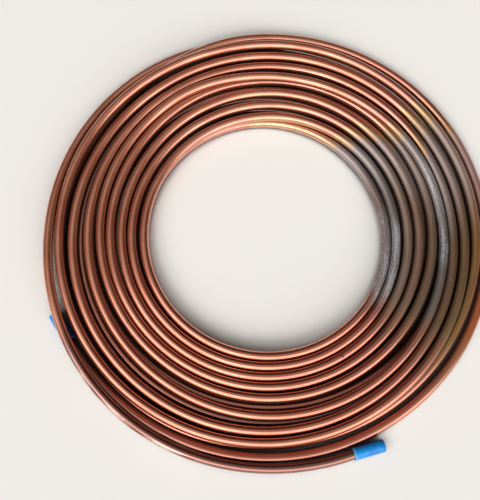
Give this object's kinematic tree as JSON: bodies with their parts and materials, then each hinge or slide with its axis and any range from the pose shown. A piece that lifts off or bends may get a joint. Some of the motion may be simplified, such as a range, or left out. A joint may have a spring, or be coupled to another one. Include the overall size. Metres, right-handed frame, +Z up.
{
  "type": "copper tube coil",
  "caption": "Flat layered coil of soft copper tube with an open eye, its free ends running round the rim and closed by push-on plastic caps.",
  "frame": {"origin": "centre of the coil's eye, on the floor that the lower turns rest on", "axes": "+Z up along the coil's axis; +X towards the side where the lead runs outermost; the tail's cap lies towards -Y"},
  "size_m": [0.3764, 0.3748, 0.0186],
  "materials": {
    "copper": "soft copper, satin, partly tarnished",
    "cap_plastic": "moulded soft plastic, semi-gloss"
  },
  "bodies": {
    "root": {"tube_coil": "copper", "lead_cap": "cap_plastic", "tail_cap": "cap_plastic"}
  },
  "joints": []
}
